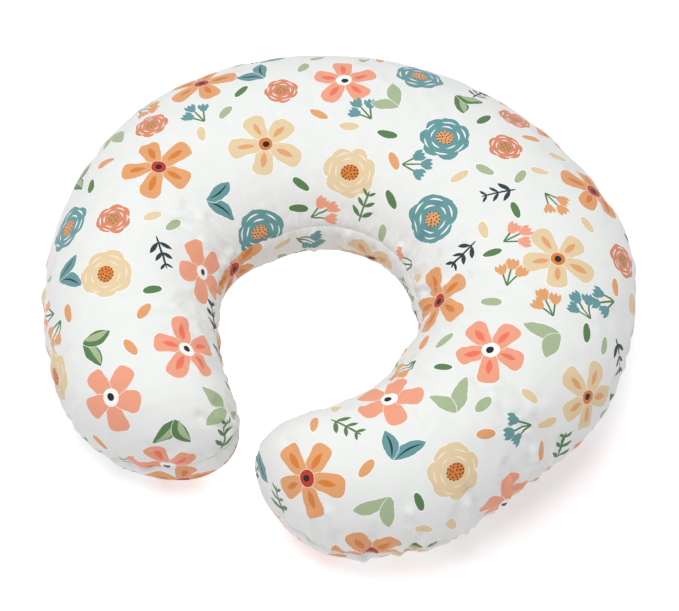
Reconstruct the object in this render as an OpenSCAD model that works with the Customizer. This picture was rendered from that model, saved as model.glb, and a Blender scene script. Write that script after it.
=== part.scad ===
// C-shaped nursing pillow: a zipped fabric cover over a fibre-filled liner with two flexing arms.
// The origin is on the resting face, under the middle of the back. +Z is up, the opening faces -Y.

/* [Outline] */
// Radius of the centre line round the back
back_r = 168; // [162:1:172]
// Angle of the back arc on each side of the middle, degrees
back_angle = 58; // [56:1:60]
// Radius of the centre line round each shoulder
shoulder_r = 157; // [150:1:162]
// Angle of each shoulder arc, degrees
shoulder_angle = 67; // [62:1:68]
// Radius of the centre line along each arm
arm_r = 251; // [245:1:270]
// Angle of each arm arc, degrees
arm_angle = 32; // [26:1:32]

/* [Section] */
// Half width of the body round the back
back_half_w = 94; // [90:1:96]
// Half width of the body at the arm tips
tip_half_w = 51; // [46:1:53]
// Height of the body at the back
body_h = 134; // [124:1:140]
// Share of that height left at the arm tips
tip_h_share = 0.87; // [0.8:0.01:0.95]
// Height of the widest line above the resting face
waist_z = 60; // [54:1:64]
// Share of that height left at the arm tips
tip_waist_share = 0.88; // [0.8:0.01:1]
// Roundness of the section above the widest line, 2 is an ellipse
top_round = 2.15; // [2:0.05:2.6]
// Roundness of the section below the widest line
bottom_round = 1.95; // [1.8:0.05:2.2]
// How far the weight of the filling flattens the underside
flatten = 5; // [3:1:8]
// Length of the rounded end of each arm
tip_len = 61; // [50:1:70]
// Bluntness of the arm ends, 2 is round
tip_blunt = 2.3; // [2.1:0.1:3]
// Slant of the arm ends, which carries the inner corner forward
tip_slant = 0.6; // [0.3:0.05:0.6]

/* [Seams] */
// Angle of the inner seam above the widest line, degrees
inner_seam = 12; // [8:1:16]
// Angle of the outer seam below the widest line at the arms, degrees
outer_seam_drop = 14; // [4:1:16]

/* [Fabric] */
// Thickness of the cover fabric with its seam allowance
cover_t = 0.8; // [0.6:0.1:1]
// Thickness of the liner fabric
liner_t = 0.6; // [0.4:0.1:0.8]
// Depth of the liner below the outside of the cover
liner_depth = 4.4; // [4.2:0.1:5]
// Space between the liner and the filling
fill_gap = 0.4; // [0.3:0.1:0.8]

/* [Arm flex] */
// Place where each arm flexes, along the centre line from the middle of the back
flex_s = 214; // [206:1:220]
// Radius of the rounded root of the arm filling
knuckle_r = 68; // [62:1:72]
// Free space round that root
knuckle_gap = 1; // [0.8:0.1:1.5]
// Angle that each arm can open, degrees
arm_open = 20; // [15:1:22]
// Angle that each arm can close, degrees
arm_close = 1.5; // [1:0.5:2]

/* [Zip] */
// Half of the angle that the zip covers round the back, degrees
zip_half_angle = 50; // [46:1:52]
// Width of each row of teeth
coil_w = 1.8; // [1.6:0.1:2]
// Thickness of the teeth
coil_t = 1.4; // [1.2:0.1:1.5]
// Gap between the two rows, where the slider's post runs
chain_slit = 1.2; // [1:0.1:1.4]
// Half height of the opening that the zip closes
zip_gape = 3.4; // [3.2:0.1:4]
// Angle that each tape reaches from the seam under the cover, degrees
tape_angle = 11; // [9:1:13]
// Length of the slider
slider_len = 10; // [8:0.5:11]
// Length of the pull from its pin
pull_len = 24; // [20:1:28]

/* [Hidden] */

back_len = back_r * back_angle * PI / 180;
shoulder_len = shoulder_r * shoulder_angle * PI / 180;
arm_len = arm_r * arm_angle * PI / 180;
spine_len = back_len + shoulder_len + arm_len;
body_rows = 27;
tip_rows = 6;
panel_columns = 13;
column_crowding = 1.3;
seam_gap_angle = 0.2;
fill_depth = liner_depth + liner_t + fill_gap;
zip_r = back_r + back_half_w;
smooth_fn = 96;

// Centre line: [x, y, heading] at a distance s from the middle of the back, turning clockwise.
function arc_point(start, r, s) =
    let (h = start[2] + s / r * 180 / PI)
    [start[0] + r * (sin(h) - sin(start[2])), start[1] + r * (cos(h) - cos(start[2])), h];
shoulder_start = arc_point([0, 0, 0], back_r, back_len);
arm_start = arc_point(shoulder_start, shoulder_r, shoulder_len);
function spine(s) =
    s <= back_len ? arc_point([0, 0, 0], back_r, s)
    : s <= back_len + shoulder_len ? arc_point(shoulder_start, shoulder_r, s - back_len)
    : arc_point(arm_start, arm_r, s - back_len - shoulder_len);

// Sizes of the section. share runs from 0 at the end of the back arc to 1 at the tip.
function arm_share(s) = max(0, (s - back_len) / (spine_len - back_len));
function half_w(share) = back_half_w + (tip_half_w - back_half_w) * share;
function height(share) = body_h * (1 + (tip_h_share - 1) * pow(share, 2));
function waist(share) = waist_z * (1 + (tip_waist_share - 1) * pow(share, 2));
function signed_pow(v, p) = sign(v) * pow(abs(v), p);

// A station is [distance along the centre line, how far round the rounded end from 0 to 1].
// A negative distance is on the left arm. depth goes inwards from the outside of the cover.
function section_point(station, a, depth) =
    let (side = station[0] < 0 ? -1 : 1,
        s = abs(station[0]) + station[1] * (tip_len - depth),
        share = arm_share(s),
        p = spine(s),
        shrink = pow(max(0, 1 - pow(station[1], tip_blunt)), 1 / tip_blunt),
        w = (half_w(share) - depth) * shrink,
        n = sin(a) >= 0 ? top_round : bottom_round,
        across = signed_pow(cos(a), 2 / n) * w,
        up = signed_pow(sin(a), 2 / n) * pow(shrink, 0.9),
        slant = -across * tip_slant * pow(max(0, (share - 0.6) / 0.4), 2),
        middle = waist(share),
        top_z = middle + (height(share) - depth - middle) * up,
        bottom_z = max(depth, middle + (middle - depth + flatten) * up),
        x = p[0] + across * sin(p[2]) + slant * cos(p[2]),
        y = p[1] + across * cos(p[2]) - slant * sin(p[2]))
    [side * x, y, sin(a) >= 0 ? top_z : bottom_z];

// Seam places as section angles. The outer seam drops only past the back arc, so the zip is level.
function outer_seam_angle(station) =
    let (share = arm_share(abs(station[0]))) -outer_seam_drop * min(1, 2.5 * share);
function zip_opening(station) =
    abs(station[0]) * 180 / PI / back_r < zip_half_angle + 1 ? asin(zip_gape / waist_z) : seam_gap_angle;

// Stations from the tip of the left arm to the tip of the right arm.
straight_len = spine_len - tip_len;
function half_run(from, rows) = [for (i = [0:rows]) [from + (straight_len - from) * i / rows, 0]];
tip_run = [for (i = [1:tip_rows]) [straight_len, sin(90 * i / tip_rows)]];
right_run = concat(half_run(0, body_rows), tip_run);
left_run = [for (i = [len(right_run) - 1:-1:1]) [-right_run[i][0], right_run[i][1]]];
full_run = concat(left_run, right_run);

// Triangles of a quad, leaving out the ones that close up at a tip.
function distinct(t) = t[0] != t[1] && t[1] != t[2] && t[2] != t[0];
function triangles(q) = [for (t = [[q[0], q[1], q[2]], [q[0], q[2], q[3]]]) if (distinct(t)) t];
function flat_list(lists) = [for (l = lists) for (v = l) v];

// Closed thin shell between two grids of rows by columns. pointed shells end in one point at each end.
module shell(outer, inner, pointed) {
    rows = len(outer);
    columns = len(outer[0]);
    size = rows * columns;
    function at(layer, i, j) = layer * size + i * columns + (pointed && (i == 0 || i == rows - 1) ? 0 : j);
    skin_quads = [for (i = [0:rows - 2]) for (j = [0:columns - 2])
        [[i, j], [i + 1, j], [i + 1, j + 1], [i, j + 1]]];
    outside = [for (q = skin_quads) [for (c = q) at(0, c[0], c[1])]];
    inside = [for (q = skin_quads) [for (k = [0, 3, 2, 1]) at(1, q[k][0], q[k][1])]];
    last = columns - 1;
    edges = [for (i = [0:rows - 2]) each [
        [at(0, i + 1, 0), at(0, i, 0), at(1, i, 0), at(1, i + 1, 0)],
        [at(0, i, last), at(0, i + 1, last), at(1, i + 1, last), at(1, i, last)]]];
    ends = pointed ? [] : [for (j = [0:columns - 2]) each [
        [at(0, 0, j), at(0, 0, j + 1), at(1, 0, j + 1), at(1, 0, j)],
        [at(0, rows - 1, j + 1), at(0, rows - 1, j), at(1, rows - 1, j), at(1, rows - 1, j + 1)]]];
    quads = concat(outside, inside, edges, ends);
    polyhedron(flat_list(concat(outer, inner)), flat_list([for (q = quads) triangles(q)]), 6);
}

// Section angles of a panel's columns, closer together at the outer seam, where the body curves most.
function spread(from, to, count) = [for (i = [0:count - 1]) from + (to - from) * i / (count - 1)];
function crowded(outer, inner, shares) = [for (t = shares) outer + (inner - outer) * pow(t, column_crowding)];
function top_angles(station, opening) =
    crowded(outer_seam_angle(station) + opening, 180 - inner_seam - seam_gap_angle,
        spread(0, 1, panel_columns));
function bottom_angles(station, opening) =
    crowded(360 + outer_seam_angle(station) - opening, 180 - inner_seam + seam_gap_angle,
        spread(1, 0, panel_columns));

module panel(is_top, depth, thickness, zipped) {
    function row(station, d) =
        let (opening = zipped ? zip_opening(station) : seam_gap_angle,
            angles = is_top ? top_angles(station, opening) : bottom_angles(station, opening))
        [for (a = angles) section_point(station, a, d)];
    shell([for (st = full_run) row(st, depth)], [for (st = full_run) row(st, depth + thickness)], true);
}

module cover_top_panel() {
    color("whitesmoke") panel(true, 0, cover_t, true);
}

module cover_bottom_panel() {
    color("whitesmoke") panel(false, 0, cover_t, true);
}

module liner_top_panel() {
    color("ivory") panel(true, liner_depth, liner_t, false);
}

module liner_bottom_panel() {
    color("ivory") panel(false, liner_depth, liner_t, false);
}

// Solid filling along a run of stations, in step with the liner round it. A closed end meets in one point.
module filling(run, first_closed, last_closed) {
    rows = len(run);
    columns = 2 * panel_columns;
    angles = [for (st = run) concat(top_angles(st, seam_gap_angle), bottom_angles(st, seam_gap_angle))];
    points = [for (i = [0:rows - 1]) for (a = angles[i]) section_point(run[i], a, fill_depth)];
    function closed(i) = (first_closed && i == 0) || (last_closed && i == rows - 1);
    function at(i, j) = i * columns + (closed(i) ? 0 : j % columns);
    quads = [for (i = [0:rows - 2]) for (j = [0:columns - 1])
        [at(i, j), at(i + 1, j), at(i + 1, j + 1), at(i, j + 1)]];
    first_end = first_closed ? [] : [[for (j = [0:columns - 1]) at(0, j)]];
    last_end = last_closed ? [] : [[for (j = [columns - 1:-1:0]) at(rows - 1, j)]];
    polyhedron(points, concat(flat_list([for (q = quads) triangles(q)]), first_end, last_end), 6);
}

// Moves its children to the place where the right arm flexes: +X towards the tip, +Y outwards.
module at_flex() {
    p = spine(flex_s);
    translate([p[0], p[1], 0]) rotate(-p[2]) children();
}

// Everything that the back filling leaves free for the right arm, through its whole travel and a little more.
reach = 260;
module flex_space() {
    spare = 1;
    at_flex() {
        translate([0, 0, -1]) cylinder(r = knuckle_r + knuckle_gap, h = body_h + 2, $fn = smooth_fn);
        translate([0, 0, -1]) linear_extrude(body_h + 2) polygon([
            [0, 0],
            reach * [-sin(arm_open + spare), cos(arm_open + spare)],
            [reach, reach],
            [reach, -reach],
            reach * [-sin(arm_close + spare), -cos(arm_close + spare)]]);
    }
}

// The runs go one row past the knuckles, which are then cut to their round shape.
row_len = straight_len / body_rows;
back_end = flex_s + knuckle_r + row_len;
arm_start_s = flex_s - knuckle_r - row_len;
back_run = [for (st = full_run) if (abs(st[0]) < back_end) st];

module fill_back() {
    color("white") difference() {
        filling(back_run, false, false);
        flex_space();
        mirror([1, 0, 0]) flex_space();
    }
}

// The part of the right arm's filling that lies past the flex line, with its round root.
module arm_space() {
    at_flex() {
        cylinder(r = knuckle_r, h = body_h, $fn = smooth_fn);
        translate([0, -reach, 0]) cube([reach, 2 * reach, body_h]);
    }
}

module fill_left_arm() {
    color("white") intersection() {
        filling([for (st = full_run) if (st[0] < -arm_start_s) st], true, false);
        mirror([1, 0, 0]) arm_space();
    }
}

module fill_right_arm() {
    color("white") intersection() {
        filling([for (st = full_run) if (st[0] > arm_start_s) st], false, true);
        arm_space();
    }
}

// Sweeps a section of [radius, z] round the back arc, from one angle to another. 0 is the middle.
module sweep(from, to) {
    translate([0, -back_r, 0]) rotate(90 - to) rotate_extrude(angle = to - from, $fn = 360) children();
}

// Section between two depths and two section angles, as [radius, z] points on the back arc.
function wall_point(a, depth) = let (p = section_point([0, 0], a, depth)) [p[1] + back_r, p[2]];
module wall_strip(from, to, near, far) {
    steps = 5;
    polygon(concat([for (a = spread(from, to, steps)) wall_point(a, near)],
        [for (a = spread(to, from, steps)) wall_point(a, far)]));
}

tape_t = 0.6;
tape_r = zip_r - 0.2 - coil_t;
module tape(side) {
    edge_angle = asin(chain_slit / 2 / waist_z);
    color("gainsboro") sweep(-zip_half_angle, zip_half_angle)
        wall_strip(side * edge_angle, side * tape_angle, zip_r - tape_r, zip_r - tape_r + tape_t);
}

module zip_tape_upper() {
    tape(1);
}

module zip_tape_lower() {
    tape(-1);
}

// The band of radius and height that one row of teeth fills.
module coil_section(side) {
    low = side > 0 ? waist_z + chain_slit / 2 : waist_z - chain_slit / 2 - coil_w;
    translate([tape_r, low]) square([coil_t, coil_w]);
}

stop_angle = 0.6;
module zip_coil_upper() {
    color("white") sweep(-zip_half_angle + stop_angle, zip_half_angle - stop_angle) coil_section(1);
}

module zip_coil_lower() {
    color("white") sweep(-zip_half_angle + stop_angle, zip_half_angle - stop_angle) coil_section(-1);
}

module zip_top_stops() {
    color("silver") for (side = [-1, 1])
        sweep(-zip_half_angle, -zip_half_angle + stop_angle) coil_section(side);
}

module zip_bottom_stop() {
    stop_h = chain_slit + 2 * coil_w;
    color("silver") sweep(zip_half_angle - stop_angle, zip_half_angle)
        translate([tape_r, waist_z - stop_h / 2]) square([coil_t, stop_h]);
}

// Fabric squares that cover the raw ends of the tapes.
module zip_end_tabs() {
    tab_angle = 3;
    near = zip_r - tape_r;
    color("whitesmoke") for (from = [-zip_half_angle - tab_angle, zip_half_angle])
        sweep(from, from + tab_angle) wall_strip(-8, 8, near, near + tape_t);
}

// The two rows of thread that hold the cover to the tapes.
module zip_topstitching() {
    thread = 0.3;
    clear = 0.05;
    row_angle = 6.5;
    color("white") for (side = [-1, 1])
        sweep(-zip_half_angle, zip_half_angle)
            translate(wall_point(side * row_angle, -clear)) translate([0, -thread / 2]) square(thread);
}

// The slider stands closed at the left end of the zip, by the top stops.
slider_half_angle = slider_len / 2 / zip_r * 180 / PI;
slider_angle = -zip_half_angle + stop_angle + 0.1 + slider_half_angle;
plate_t = 1;
plate_clear = 0.25;
front_r = zip_r + plate_clear;
pin_r = 0.7;
pin_place = front_r + plate_t + 1.65;
ear_gap = 3.8;
ear_t = 1;
module at_slider() {
    translate([0, -back_r, waist_z]) rotate(-slider_angle) children();
}

module slider_plate(r, plate_h) {
    sweep(slider_angle - slider_half_angle, slider_angle + slider_half_angle)
        translate([r, waist_z - plate_h / 2]) square([plate_t, plate_h]);
}

module zip_slider() {
    back_plate_r = tape_r - tape_t - 0.4 - plate_t;
    post_angle = slider_half_angle * 0.6;
    post_h = 0.7;
    ear_r = 1.3;
    ear_z = ear_gap / 2;
    ear_foot = front_r + plate_t / 2;
    color("silver") union() {
        slider_plate(front_r, 8.4);
        slider_plate(back_plate_r, 7.2);
        sweep(slider_angle - slider_half_angle, slider_angle - slider_half_angle + post_angle)
            translate([back_plate_r + plate_t / 2, waist_z - post_h / 2])
                square([front_r - back_plate_r, post_h]);
        at_slider() {
            for (z = [-ear_z - ear_t, ear_z]) {
                translate([0, pin_place, z]) cylinder(r = ear_r, h = ear_t, $fn = 48);
                translate([-ear_r, ear_foot, z]) cube([2 * ear_r, pin_place - ear_foot, ear_t]);
            }
            translate([0, pin_place, -ear_z - ear_t / 2])
                cylinder(r = pin_r, h = ear_gap + ear_t, $fn = 48);
        }
    }
}

// The pull lies along the chain at rest, towards the middle of the back.
module zip_pull() {
    barrel_h = ear_gap - 0.4;
    pull_t = 1;
    pull_w = 6.4;
    neck_len = 3.2;
    color("silver") at_slider() translate([0, pin_place, 0]) difference() {
        union() {
            translate([0, 0, -barrel_h / 2]) cylinder(r = 1.4, h = barrel_h, $fn = 48);
            translate([0, -pull_t / 2, -barrel_h / 2]) cube([neck_len + 1, pull_t, barrel_h]);
            translate([0, pull_t / 2, 0]) rotate([90, 0, 0]) linear_extrude(pull_t) {
                translate([neck_len, -pull_w / 2]) square([pull_len - neck_len - pull_w / 2, pull_w]);
                translate([pull_len - pull_w / 2, 0]) circle(d = pull_w, $fn = 48);
            }
        }
        translate([0, 0, -barrel_h]) cylinder(r = pin_r + 0.05, h = 2 * barrel_h, $fn = 48);
        translate([pull_len - pull_w / 2, pull_t, 0]) rotate([90, 0, 0])
            cylinder(r = 1.5, h = 2 * pull_t, $fn = 48);
    }
}

// A blank fabric label that follows the inside of a wall.
module label(from_s, to_s, from_a, to_a, near) {
    label_t = 0.3;
    stations = [for (s = spread(from_s, to_s, 4)) [s, 0]];
    function grid(depth) = [for (st = stations) [for (a = spread(from_a, to_a, 6)) section_point(st, a, depth)]];
    color("white") shell(grid(near), grid(near + label_t), false);
}

module care_label() {
    mirror([1, 0, 0]) label(back_len - 8, back_len + 22, 318, 348, 2.4);
}

module liner_label() {
    label(-22, 22, 322, 354, liner_depth - 1);
}

// Hand stitches that close the filling hole on the inner seam of the liner.
module liner_closing_stitches() {
    count = 14;
    pitch = 4.5;
    lean = 3;
    near = liner_depth - 0.4;
    seam = 180 - inner_seam;
    color("white") for (i = [0:count - 1])
        sweep((i - count / 2) * pitch, (i - count / 2) * pitch + 0.6)
            wall_strip(seam - lean, seam + lean, near, near + 0.3);
}

cover_top_panel();
cover_bottom_panel();
liner_top_panel();
liner_bottom_panel();
fill_back();
fill_left_arm();
fill_right_arm();
zip_tape_upper();
zip_tape_lower();
zip_coil_upper();
zip_coil_lower();
zip_top_stops();
zip_bottom_stop();
zip_end_tabs();
zip_topstitching();
zip_slider();
zip_pull();
care_label();
liner_label();
liner_closing_stitches();
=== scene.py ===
"""Looks of a C-shaped nursing pillow: a printed, zipped cover over a fibre-filled liner.

Lengths are metres in the frame of the CAD model: origin on the resting face under the middle of
the back, +Z up, mouth towards -Y. Places along the fabric follow the centre line from the middle of
the back (the right arm is positive), and places across it start at the panel's crest (outwards is
positive).
"""

import math

import bpy
import numpy as np
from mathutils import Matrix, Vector


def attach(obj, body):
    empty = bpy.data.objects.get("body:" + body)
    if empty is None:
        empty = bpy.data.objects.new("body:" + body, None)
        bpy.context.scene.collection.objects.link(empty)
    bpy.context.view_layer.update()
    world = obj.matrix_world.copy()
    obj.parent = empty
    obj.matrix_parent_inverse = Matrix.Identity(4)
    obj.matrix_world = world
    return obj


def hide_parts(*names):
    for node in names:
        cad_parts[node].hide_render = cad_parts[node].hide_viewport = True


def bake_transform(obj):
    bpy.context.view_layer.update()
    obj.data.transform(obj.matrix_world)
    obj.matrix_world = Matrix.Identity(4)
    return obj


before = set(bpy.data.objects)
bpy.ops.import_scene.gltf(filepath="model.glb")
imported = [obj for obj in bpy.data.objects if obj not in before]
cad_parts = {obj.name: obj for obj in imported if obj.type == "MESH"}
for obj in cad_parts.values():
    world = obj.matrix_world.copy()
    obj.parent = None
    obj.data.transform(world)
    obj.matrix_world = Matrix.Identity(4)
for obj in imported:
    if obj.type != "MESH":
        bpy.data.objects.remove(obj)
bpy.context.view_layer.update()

CM = 0.01
MM = 0.001

# Centre line: radius and angle of the back, shoulder and arm arcs on each side.
ARC_R = np.array([0.168, 0.157, 0.251])
ARC_ANGLE = np.radians([58.0, 67.0, 32.0])
ARC_LEN = ARC_R * ARC_ANGLE
BACK_LEN = ARC_LEN[0]
SPINE_LEN = ARC_LEN.sum()
RING_CENTRE = Vector((0, -ARC_R[0], 0))

# Section of the body, at the back and as shares left at the tips.
BACK_HALF_W = 0.094
TIP_HALF_W = 0.051
BODY_H = 0.134
TIP_H_SHARE = 0.87
WAIST_Z = 0.060
TIP_WAIST_SHARE = 0.88
TOP_ROUND = 2.15
BOTTOM_ROUND = 1.95
FLATTEN = 0.005
TIP_LEN = 0.061
TIP_BLUNT = 2.3
TIP_SLANT = 0.6

# Uneven places: along and reach (cm), then how far out at the outer seam, on the shoulder above it and at the
# inner seam (mm).
STRAYS = [
    (-41.0, 5.0, 7.0, 2.0, 0.0),
    (-36.5, 5.5, 0.0, 0.0, 5.0),
    (-29.0, 5.0, 0.0, -6.0, 0.0),
    (15.5, 4.5, 0.0, 8.0, 0.0),
    (31.5, 4.5, -11.0, -6.0, 8.0),
    (38.5, 3.5, 4.0, 0.0, 0.0),
]

# Seams and zip.
INNER_SEAM = math.radians(12)
OUTER_SEAM_DROP = math.radians(14)
ZIP_HALF_ANGLE = math.radians(50)
ZIP_GAPE = 0.0038
ZIP_R = ARC_R[0] + BACK_HALF_W
ZIP_COIL_ANGLE = ZIP_HALF_ANGLE - math.radians(0.6)
COIL_PITCH = 1.5 * MM
STITCH_PITCH = 3.0 * MM
STITCH_INSET = 3.4 * MM
LINER_DEPTH = 0.0044
FILL_DEPTH = 0.0056

# Grids of the panels.
BODY_ROWS = 176
TIP_ROWS = 30
COLUMNS = 96
FINE_ANGLES = 361
LIP_DEPTHS = (0.0009, 0.0022, 0.0036)

# Cloth simulation: slack and stiffness of the fabric, uneven start, pressure inside and frames.
CLOTH_SLACK = 0.04
CLOTH_BENDING = 0.02
CLOTH_START = 0.4 * MM
CLOTH_PRESSURE = 4
CLOTH_FRAMES = 20

# What is kept of it: waves narrower than a number of grid lines, fading out where the pillow rests.
WIDEST_WAVE = 9
RESTING_FADE = 12 * MM

# How deep and how high the fabric's relief may get.
DEEPEST = 3.2 * MM
HIGHEST = 5.0 * MM

# Light from all round, and the floor's half size, its depth below the pillow, its glow and the middle of a
# shadow painted into that glow.
WORLD_LIGHT = 0.50
FLOOR_HALF = 20.0
FLOOR_DROP = 0.3 * MM
FLOOR_GLOW = 0.12
PAINTED_SHADOW_PLACE = (0.27, -0.24, 0)


# ---------------------------------------------------------------- body shape


def signed_pow(value, power):
    return np.sign(value) * np.abs(value) ** power


def unit(vectors):
    return vectors / np.maximum(np.linalg.norm(vectors, axis=-1, keepdims=True), 1e-12)


def smooth_step(value):
    value = np.clip(value, 0, 1)
    return value * value * (3 - 2 * value)


def spine(s):
    """Place and heading of the centre line at distances s >= 0, turning clockwise."""
    x, y, heading = np.zeros_like(s), np.zeros_like(s), np.zeros_like(s)
    for radius, length in zip(ARC_R, ARC_LEN):
        turn = np.clip(s, 0, length) / radius
        x = x + radius * (np.sin(heading + turn) - np.sin(heading))
        y = y + radius * (np.cos(heading + turn) - np.cos(heading))
        heading = heading + turn
        s = s - length
    return x, y, heading


def arm_share(s):
    return np.clip((np.abs(s) - BACK_LEN) / (SPINE_LEN - BACK_LEN), 0, 1)


def stray(reach, angle):
    """How far a soft body strays across from the even shape, outwards positive."""
    total = 0.0
    for centre, width, at_outer, on_shoulder, at_inner in STRAYS:
        near = np.exp(-(((reach / CM - centre) / width) ** 2)) * MM
        total = total + near * at_outer * np.clip(np.cos(angle), 0, 1) ** 1.5
        total = total - near * at_inner * np.clip(-np.cos(angle), 0, 1) ** 1.5
        total = total + near * on_shoulder * np.clip(np.sin(2 * angle), 0, 1) * (np.sin(angle) > 0)
    return total


def body_point(s, cap, angle, depth=0.0):
    """Points of the body. cap runs from 0 to 1 round a tip; angle is 0 outside, 90 degrees on top."""
    side = np.where(s < 0, -1.0, 1.0)
    reach = np.abs(s) + cap * (TIP_LEN - depth)
    share = arm_share(reach)
    x, y, heading = spine(reach)
    shrink = np.clip(1 - cap**TIP_BLUNT, 0, 1) ** (1 / TIP_BLUNT)
    width = (BACK_HALF_W + (TIP_HALF_W - BACK_HALF_W) * share - depth) * shrink
    above = np.sin(angle) >= 0
    power = 2 / np.where(above, TOP_ROUND, BOTTOM_ROUND)
    across = signed_pow(np.cos(angle), power) * width + stray(side * reach, angle) * shrink
    up = signed_pow(np.sin(angle), power) * shrink**0.9
    slant = -across * TIP_SLANT * np.clip((share - 0.6) / 0.4, 0, 1) ** 2
    middle = WAIST_Z * (1 + (TIP_WAIST_SHARE - 1) * share**2)
    height = BODY_H * (1 + (TIP_H_SHARE - 1) * share**2)
    top_z = middle + (height - depth - middle) * up
    bottom_z = np.maximum(depth, middle + (middle - depth + FLATTEN) * up)
    px = side * (x + across * np.sin(heading) + slant * np.cos(heading))
    py = y + across * np.cos(heading) - slant * np.sin(heading)
    return np.stack([px, py, np.where(above, top_z, bottom_z)], axis=-1)


def stations(body_rows, tip_rows):
    """Centre line distances and cap shares from the left tip to the right tip."""
    straight = SPINE_LEN - TIP_LEN
    turn = np.linspace(0, math.pi / 2, tip_rows + 1)[1:]
    s = np.concatenate([np.linspace(0, straight, body_rows + 1), np.full(tip_rows, straight)])
    cap = np.concatenate([np.zeros(body_rows + 1), np.sin(turn)])
    return np.concatenate([-s[:0:-1], s]), np.concatenate([cap[:0:-1], cap])


def grid_normals(points, outward):
    normals = np.cross(np.gradient(points, axis=0), np.gradient(points, axis=1)) * outward
    normals[0] = normals[1].mean(axis=0)
    normals[-1] = normals[-2].mean(axis=0)
    return unit(normals)


class Panel:
    """One panel as a grid: rows along the body, columns evenly from the outer to the inner seam."""

    def __init__(self, is_top, depth, zipped, body_rows, tip_rows, columns):
        self.is_top = is_top
        self.outward = -1.0 if is_top else 1.0
        self.s, self.cap = stations(body_rows, tip_rows)
        share = np.linspace(0, 1, columns + 1)
        fine = self.fine_angles(zipped)
        line = body_point(self.s[:, None], self.cap[:, None], fine, depth)
        steps = np.linalg.norm(np.diff(line, axis=1), axis=2)
        length = np.concatenate([np.zeros((len(self.s), 1)), steps.cumsum(axis=1)], axis=1)
        angle = np.zeros((len(self.s), columns + 1))
        self.across = np.zeros_like(angle)
        direction = 1 if is_top else -1
        for i, total in enumerate(np.maximum(length[:, -1], 1e-9)):
            angle[i] = np.interp(share, length[i] / total, fine[i])
            crest = np.interp(math.pi / 2, direction * fine[i], length[i])
            self.across[i] = crest - share * total
        self.points = body_point(self.s[:, None], self.cap[:, None], angle, depth)
        self.normals = grid_normals(self.points, self.outward)
        self.along = np.sign(self.s) * (np.abs(self.s) + self.cap * TIP_LEN)
        self.outer_dist = self.across[:, :1] - self.across
        self.inner_dist = self.across - self.across[:, -1:]

    def off_seam(self, along, distances, gap):
        """Point of the surface at a distance from a seam."""
        row = np.abs(self.along - along).argmin()
        return self.points[row, np.abs(distances[row] - gap).argmin()]

    def fine_angles(self, zipped):
        """Section angles from the outer seam to the inner seam, leaving the zip's opening free."""
        outer = -OUTER_SEAM_DROP * np.minimum(1, 2.5 * arm_share(self.s))
        in_zip = np.abs(self.s) / ARC_R[0] < ZIP_HALF_ANGLE + math.radians(1)
        half_gap = math.asin(ZIP_GAPE / WAIST_Z) * in_zip * zipped
        start = outer + half_gap if self.is_top else outer - half_gap
        end = math.pi - INNER_SEAM if self.is_top else -math.pi - INNER_SEAM
        t = np.linspace(0, 1, FINE_ANGLES)
        return start[:, None] + (end - start[:, None]) * t


# ---------------------------------------------------------------- fabric relief

# Gathered stretches of a seam: from and to along it (cm), which seam, how many folds run off it, then their
# length and height (mm).
TOP_GATHERS = [
    (-29, -24, "inner", 5, 45, 1.2),
    (7, 22, "inner", 8, 40, 1.2),
    (29, 41, "outer", 9, 32, 1.6),
    (43, 48, "outer", 4, 32, 1.5),
    (-49, -46, "inner", 3, 25, 1.4),
]
BOTTOM_GATHERS = [
    (-15, 4, "inner", 5, 25, 1.3),
    (30, 46, "outer", 4, 25, 1.5),
    (-46, -30, "outer", 4, 25, 1.5),
]
FOLD_HALF = 3.8 * MM
FOLD_GAIN = 2.2


def ripple(along, seed):
    """Uneven gathers along a seam, between -1 and 1."""
    waves = [(0.0113, 1.0), (0.0171, 0.9), (0.0263, 0.8)]
    total = sum(weight for _, weight in waves)
    value = sum(weight * np.sin(2 * math.pi * along / length + 1.7 * k + seed)
                for k, (length, weight) in enumerate(waves))
    return value / total


def fold_relief(panel, gathers):
    """Height of the folds that run off the seams, standing proud and sinking in by turns."""
    total = np.zeros(panel.across.shape)
    for first, last, seam, count, length, height in gathers:
        distances = panel.inner_dist if seam == "inner" else panel.outer_dist
        for k in range(count):
            uneven = math.sin(2.4 * k + first)
            along = (first + (last - first) * (k + 0.5 + 0.2 * uneven) / count) * CM
            gap = (11 + 5 * uneven) * MM
            reach = length * (1 + 0.25 * uneven) * MM
            a = panel.off_seam(along, distances, gap)
            b = panel.off_seam(along + 0.2 * uneven * reach, distances, gap + reach)
            line = b - a
            share = np.clip((panel.points - a) @ line / (line @ line), 0, 1)
            distance = np.linalg.norm(panel.points - a - share[..., None] * line, axis=2)
            side = 1 if k % 2 else -1
            total += side * FOLD_GAIN * height * MM * np.exp(-((distance / FOLD_HALF) ** 2))
    return total


def seam_relief(panel):
    """Height of the fabric over the smooth body: grooves at the seams and gathers beside them."""
    along = panel.along[:, None]
    share = arm_share(panel.along)[:, None]
    in_zip = smooth_step((math.degrees(1) * np.abs(along) / ARC_R[0] - 50) / 6)
    groove = 1.8 * MM * np.exp(-(panel.inner_dist / 0.0035) ** 2)
    groove = groove + (0.5 + 1.3 * in_zip) * MM * np.exp(-(panel.outer_dist / 0.0035) ** 2)
    shoulder = np.exp(-(((along - 0.165) / 0.03) ** 2))
    gather = (0.15 + 1.25 * in_zip * (0.4 + 0.6 * share) + 0.8 * shoulder * in_zip) * MM
    outer = gather * ripple(along, 0.0) * np.exp(-panel.outer_dist / (0.018 + 0.02 * shoulder))
    inner = 0.7 * MM * ripple(along * 1.2, 2.0) * np.exp(-panel.inner_dist / 0.014)
    fade = np.minimum(1, (1 - panel.cap[:, None]) * 6)
    return (outer + inner) * fade - groove * np.minimum(1, fade + 0.3)


# ---------------------------------------------------------------- meshes


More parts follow.
